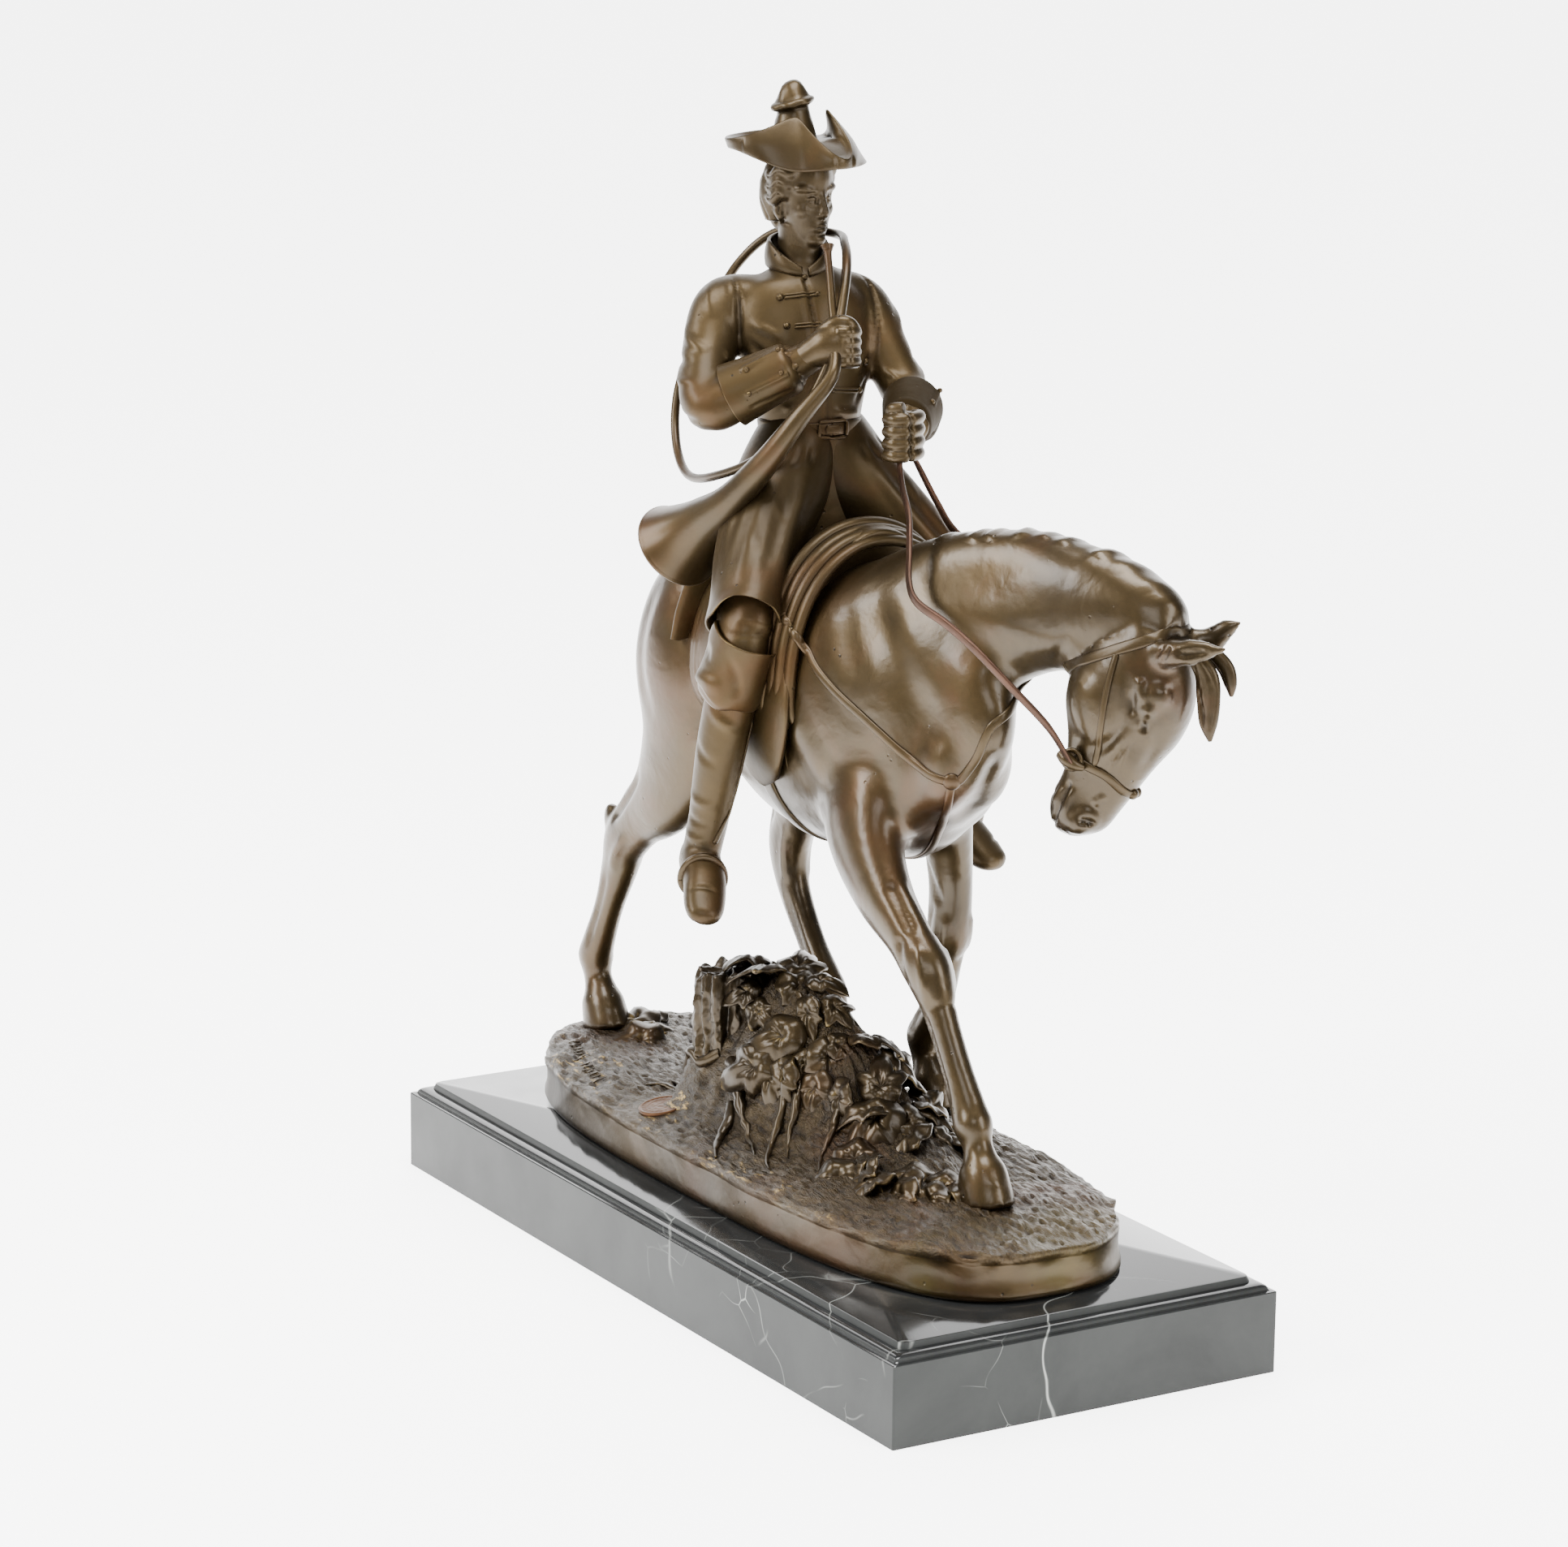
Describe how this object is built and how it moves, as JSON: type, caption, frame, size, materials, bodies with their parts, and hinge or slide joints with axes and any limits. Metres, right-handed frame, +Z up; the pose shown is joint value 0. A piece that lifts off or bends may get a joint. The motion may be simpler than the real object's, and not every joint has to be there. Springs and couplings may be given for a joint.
{
  "type": "equestrian statuette",
  "caption": "Patinated bronze statuette of a rider with a hunting horn on a walking horse, over an ivy-grown stump and oval ground, on a dark marble plinth.",
  "frame": {"origin": "centre of the plinth's underside", "axes": "+X towards the horse's head, +Y the horse's left, +Z up"},
  "size_m": [0.321, 0.1468, 0.3841],
  "materials": {
    "marble": "polished dark marble with white veins",
    "bronze": "satin olive brown bronze patina, golden on worn edges",
    "rein_metal": "reddish bronze strip, satin",
    "copper": "dull copper"
  },
  "bodies": {
    "root": {"marble_plinth": "marble", "bronze_group": "bronze", "rein_near": "rein_metal", "rein_far": "rein_metal", "foundry_seal": "copper"}
  },
  "joints": []
}
